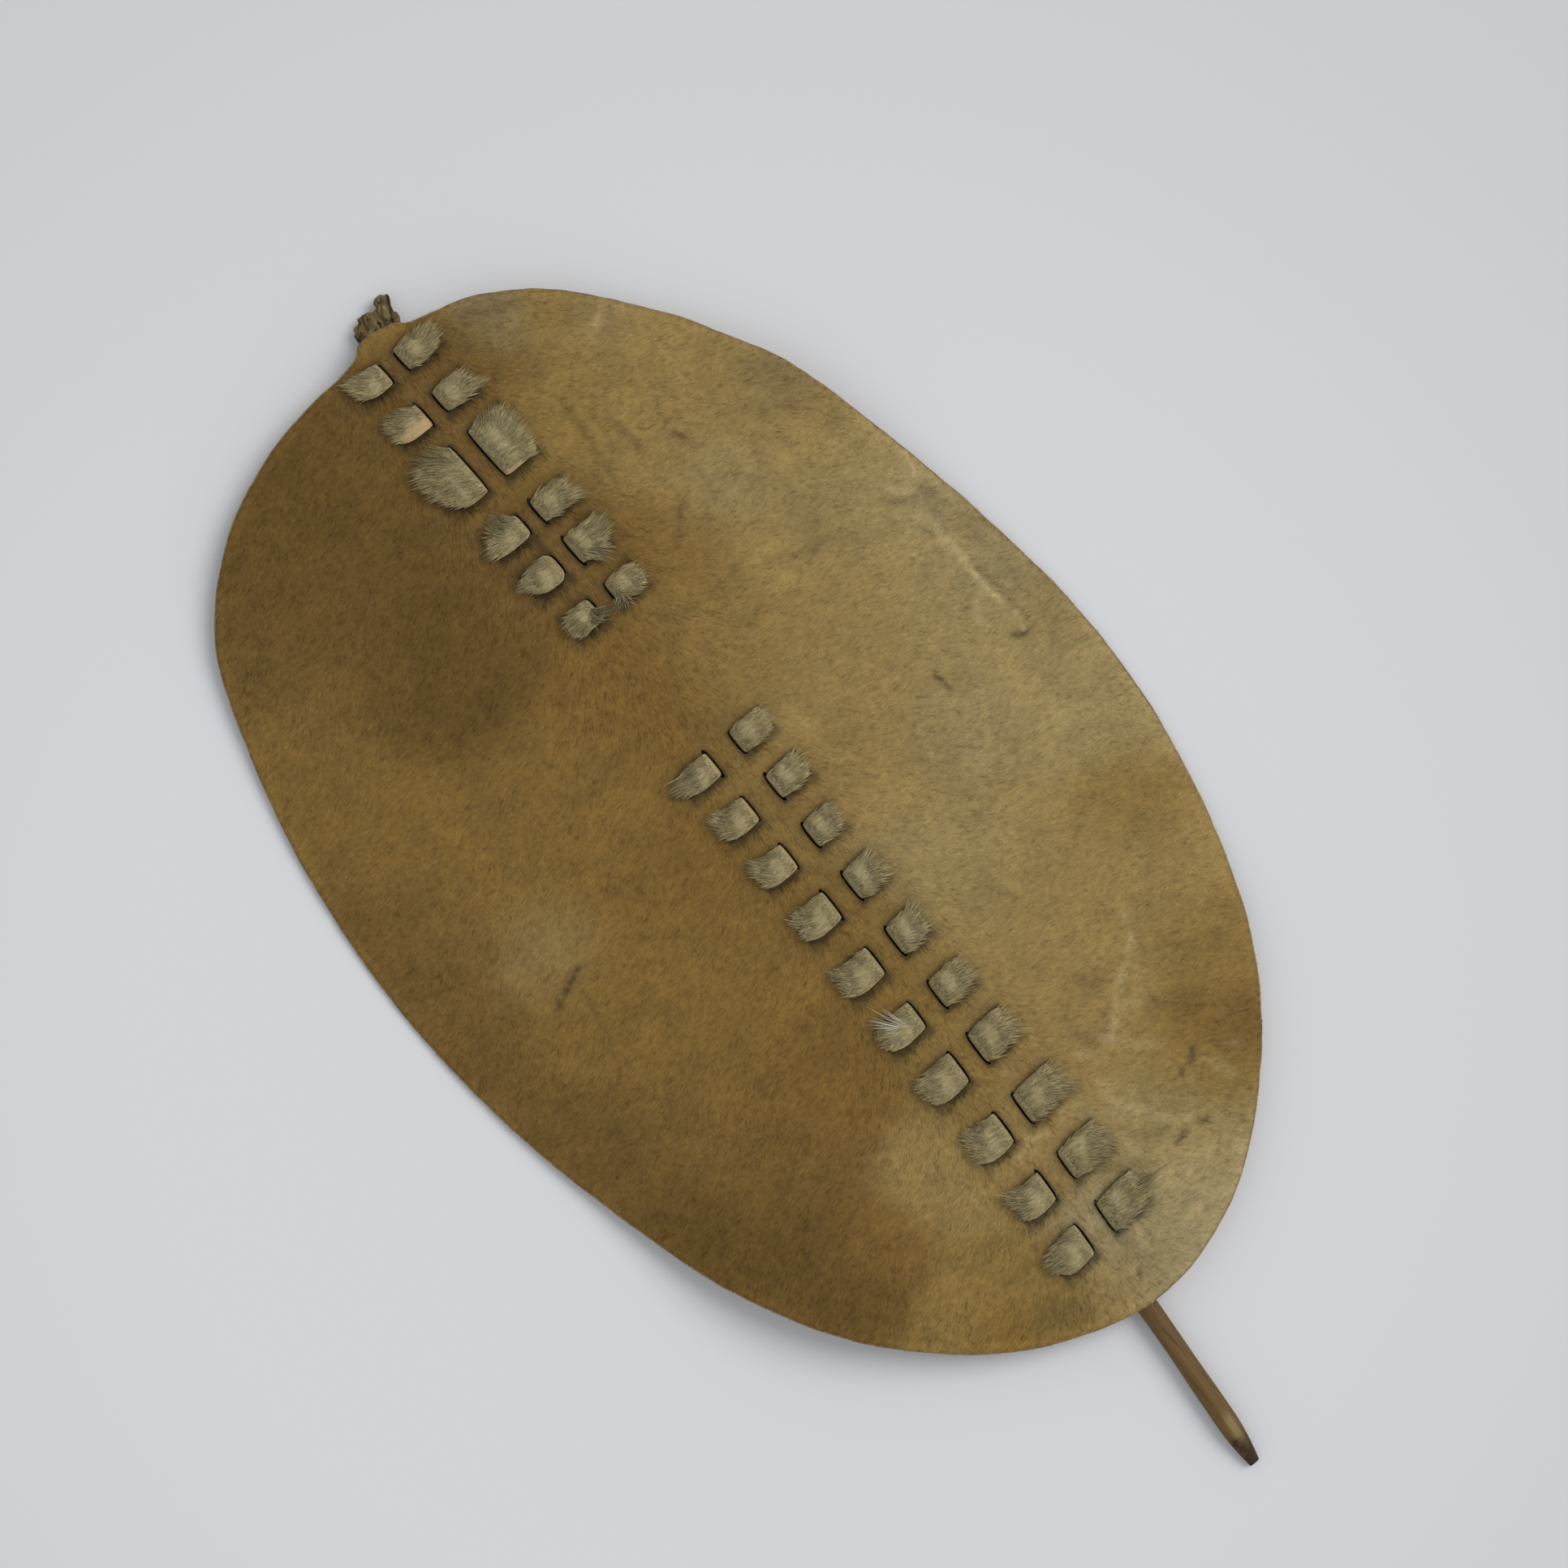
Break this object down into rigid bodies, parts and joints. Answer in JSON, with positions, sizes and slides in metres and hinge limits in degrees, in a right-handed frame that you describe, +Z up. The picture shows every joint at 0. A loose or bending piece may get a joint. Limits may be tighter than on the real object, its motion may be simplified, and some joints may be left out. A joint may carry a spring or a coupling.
{
  "type": "hide shield",
  "caption": "Oval hair-on cowhide hand shield, laced with two columns of goatskin patches over a bowed stick down its back, with a knotted thong at its top.",
  "frame": {"origin": "on the ground, under the middle of the whole object's box, as it lies on its back with the hair side up", "axes": "+Z up, out of the hair side; +Y up the shield, from the stick's pointed foot to the knot; +X to the right as the hair side is seen with the knot at the top"},
  "size_m": [0.386, 0.7201, 0.024],
  "materials": {
    "cowhide": "short-haired tan hide, matt with a soft nap",
    "goat_strip": "long grey-beige goat hair, matt",
    "peeled_wood": "peeled branch, hand-polished and slightly shiny",
    "rawhide_thong": "dried and crumpled rawhide"
  },
  "bodies": {
    "root": {"hide_panel": "cowhide", "stick": "peeled_wood", "strip_row_01": "goat_strip", "strip_row_02": "goat_strip", "strip_row_03": "goat_strip", "strip_row_04": "goat_strip", "strip_row_05": "goat_strip", "strip_row_06": "goat_strip", "strip_row_07": "goat_strip", "strip_row_08": "goat_strip", "strip_row_09": "goat_strip", "strip_row_10": "goat_strip", "strip_row_11": "goat_strip", "strip_row_12": "goat_strip", "strip_row_13": "goat_strip", "strip_row_14": "goat_strip", "strip_row_15": "goat_strip", "strip_row_16": "goat_strip", "top_knot": "rawhide_thong"}
  },
  "joints": []
}
